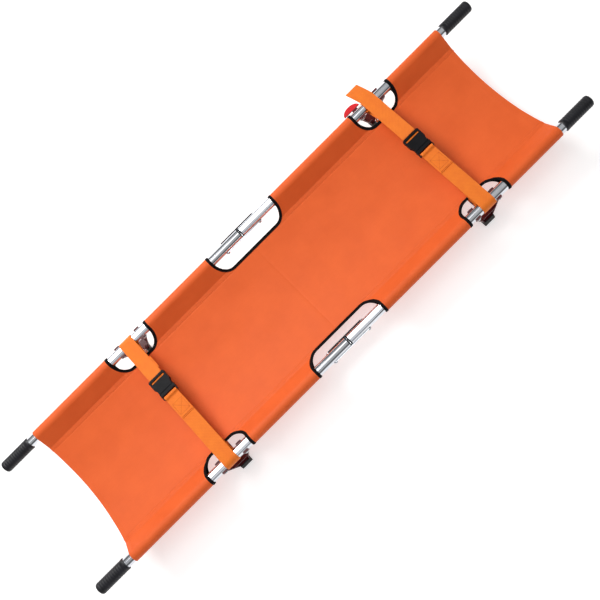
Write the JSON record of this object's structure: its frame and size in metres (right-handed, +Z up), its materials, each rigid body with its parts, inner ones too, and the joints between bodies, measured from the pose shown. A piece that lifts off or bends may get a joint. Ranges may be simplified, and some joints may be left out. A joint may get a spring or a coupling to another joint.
{
  "type": "folding stretcher",
  "caption": "Folding carry stretcher: poles hinged in the middle, canvas bed with hand holes, braced feet, folding spreaders and buckled restraint straps.",
  "frame": {"origin": "middle of the stretcher's outline on the floor", "axes": "+X along the poles towards the front grips, +Y to the left pole, +Z up"},
  "size_m": [2.08, 0.5936, 0.1505],
  "materials": {
    "pole_aluminium": "polished drawn tube",
    "grip_rubber": "matte moulded rubber",
    "joint_cap_plastic": "moulded",
    "hinge_steel": "zinc plated",
    "fastener_steel": "zinc plated",
    "leg_red_paint": "gloss powder coat",
    "foot_rubber": "matte moulded rubber",
    "spreader_steel": "zinc plated",
    "canvas": "coated plain weave with black binding",
    "webbing": "woven polyester webbing",
    "buckle_plastic": "moulded acetal"
  },
  "bodies": {
    "left_rear": {"tube_left_rear": "pole_aluminium", "grip_left_rear": "grip_rubber", "joint_cap_left_rear": "joint_cap_plastic", "leg_left_rear": "leg_red_paint", "leg_bolt_left_rear_1": "fastener_steel", "leg_bolt_left_rear_2": "fastener_steel", "foot_pad_left_rear": "foot_rubber", "canvas_side_left_rear": "canvas", "strap_rear_left": "webbing", "canvas_bed_rear": "canvas", "spreader_pin_rear_left": "fastener_steel"},
    "left_front": {"tube_left_front": "pole_aluminium", "grip_left_front": "grip_rubber", "joint_cap_left_front": "joint_cap_plastic", "leg_left_front": "leg_red_paint", "leg_bolt_left_front_1": "fastener_steel", "leg_bolt_left_front_2": "fastener_steel", "foot_pad_left_front": "foot_rubber", "canvas_side_left_front": "canvas", "strap_front_left": "webbing", "canvas_bed_front": "canvas", "spreader_pin_front_left": "fastener_steel"},
    "hinge_link_left": {"hinge_link_left": "hinge_steel", "hinge_pin_left_rear": "hinge_steel", "hinge_pin_left_front": "hinge_steel"},
    "right_rear": {"tube_right_rear": "pole_aluminium", "grip_right_rear": "grip_rubber", "joint_cap_right_rear": "joint_cap_plastic", "leg_right_rear": "leg_red_paint", "leg_bolt_right_rear_1": "fastener_steel", "leg_bolt_right_rear_2": "fastener_steel", "foot_pad_right_rear": "foot_rubber", "canvas_side_right_rear": "canvas", "strap_rear_right": "webbing", "spreader_pin_rear_right": "fastener_steel"},
    "right_front": {"tube_right_front": "pole_aluminium", "grip_right_front": "grip_rubber", "joint_cap_right_front": "joint_cap_plastic", "leg_right_front": "leg_red_paint", "leg_bolt_right_front_1": "fastener_steel", "leg_bolt_right_front_2": "fastener_steel", "foot_pad_right_front": "foot_rubber", "canvas_side_right_front": "canvas", "strap_front_right": "webbing", "spreader_pin_front_right": "fastener_steel"},
    "hinge_link_right": {"hinge_link_right": "hinge_steel", "hinge_pin_right_rear": "hinge_steel", "hinge_pin_right_front": "hinge_steel"},
    "spreader_rear_left": {"spreader_link_rear_left": "spreader_steel", "spreader_pin_rear_middle": "fastener_steel"},
    "spreader_rear_right": {"spreader_link_rear_right": "spreader_steel"},
    "buckle_socket_rear": {"buckle_socket_rear": "buckle_plastic"},
    "buckle_plug_rear": {"buckle_plug_rear": "buckle_plastic"},
    "spreader_front_left": {"spreader_link_front_left": "spreader_steel", "spreader_pin_front_middle": "fastener_steel"},
    "spreader_front_right": {"spreader_link_front_right": "spreader_steel"},
    "buckle_socket_front": {"buckle_socket_front": "buckle_plastic"},
    "buckle_plug_front": {"buckle_plug_front": "buckle_plastic"}
  },
  "joints": [
    {"name": "centre_fold_left_rear", "type": "hinge", "parent": "left_rear", "child": "hinge_link_left", "pos_m": [-0.0535, 0.2268, 0.12], "axis": [0, 1, 0], "range_deg": [0, 90]},
    {"name": "centre_fold", "type": "hinge", "parent": "hinge_link_left", "child": "left_front", "pos_m": [0.0865, 0.2268, 0.12], "axis": [0, 1, 0], "range_deg": [0, 90], "deforming": ["canvas_bed_rear", "canvas_bed_front"]},
    {"name": "spreader_fold", "type": "hinge", "parent": "left_rear", "child": "spreader_rear_left", "pos_m": [-0.476, 0.1968, 0.0575], "axis": [0, 0, 1], "range_deg": [0, 78], "deforming": ["canvas_bed_rear", "canvas_bed_front", "strap_rear_left", "strap_rear_right", "strap_front_left", "strap_front_right"]},
    {"name": "spreader_rear_middle", "type": "hinge", "parent": "spreader_rear_left", "child": "spreader_rear_right", "pos_m": [-0.476, -0.0232, 0.0595], "axis": [0, 0, 1], "range_deg": [-156, 0]},
    {"name": "spreader_rear_right_end", "type": "hinge", "parent": "spreader_rear_right", "child": "right_rear", "pos_m": [-0.476, -0.2432, 0.0595], "axis": [0, 0, 1], "range_deg": [0, 78]},
    {"name": "centre_fold_right_rear", "type": "hinge", "parent": "right_rear", "child": "hinge_link_right", "pos_m": [-0.0535, -0.2732, 0.12], "axis": [0, 1, 0], "range_deg": [0, 90]},
    {"name": "centre_fold_right_front", "type": "hinge", "parent": "hinge_link_right", "child": "right_front", "pos_m": [0.0865, -0.2732, 0.12], "axis": [0, 1, 0], "range_deg": [0, 90]},
    {"name": "spreader_front_left_end", "type": "hinge", "parent": "left_front", "child": "spreader_front_left", "pos_m": [0.593, 0.1968, 0.0575], "axis": [0, 0, 1], "range_deg": [-78, 0]},
    {"name": "spreader_front_middle", "type": "hinge", "parent": "spreader_front_left", "child": "spreader_front_right", "pos_m": [0.593, -0.0232, 0.0595], "axis": [0, 0, 1], "range_deg": [0, 156]},
    {"name": "strap_travel_rear", "type": "slide", "parent": "left_rear", "child": "buckle_socket_rear", "axis": [0, 1, 0], "range_m": [0, 0.122]},
    {"name": "buckle_release_rear", "type": "slide", "parent": "buckle_socket_rear", "child": "buckle_plug_rear", "axis": [0, -1, 0], "range_m": [0, 0.03], "deforming": ["strap_rear_right"]},
    {"name": "strap_travel_front", "type": "slide", "parent": "left_front", "child": "buckle_socket_front", "axis": [0, 1, 0], "range_m": [0, 0.152]},
    {"name": "buckle_release_front", "type": "slide", "parent": "buckle_socket_front", "child": "buckle_plug_front", "axis": [0, -1, 0], "range_m": [0, 0.03], "deforming": ["strap_front_right"]}
  ],
  "couplings": [
    {"joint": "centre_fold_left_rear", "follows": "centre_fold", "ratio": 1},
    {"joint": "centre_fold_right_rear", "follows": "centre_fold", "ratio": 1},
    {"joint": "centre_fold_right_front", "follows": "centre_fold", "ratio": 1},
    {"joint": "spreader_rear_middle", "follows": "spreader_fold", "ratio": -2},
    {"joint": "spreader_rear_right_end", "follows": "spreader_fold", "ratio": 1},
    {"joint": "spreader_front_left_end", "follows": "spreader_fold", "ratio": -1},
    {"joint": "spreader_front_middle", "follows": "spreader_fold", "ratio": 2},
    {"joint": "strap_travel_rear", "follows": "spreader_fold", "m_per_rad": 0.089608},
    {"joint": "strap_travel_front", "follows": "spreader_fold", "m_per_rad": 0.11164}
  ]
}
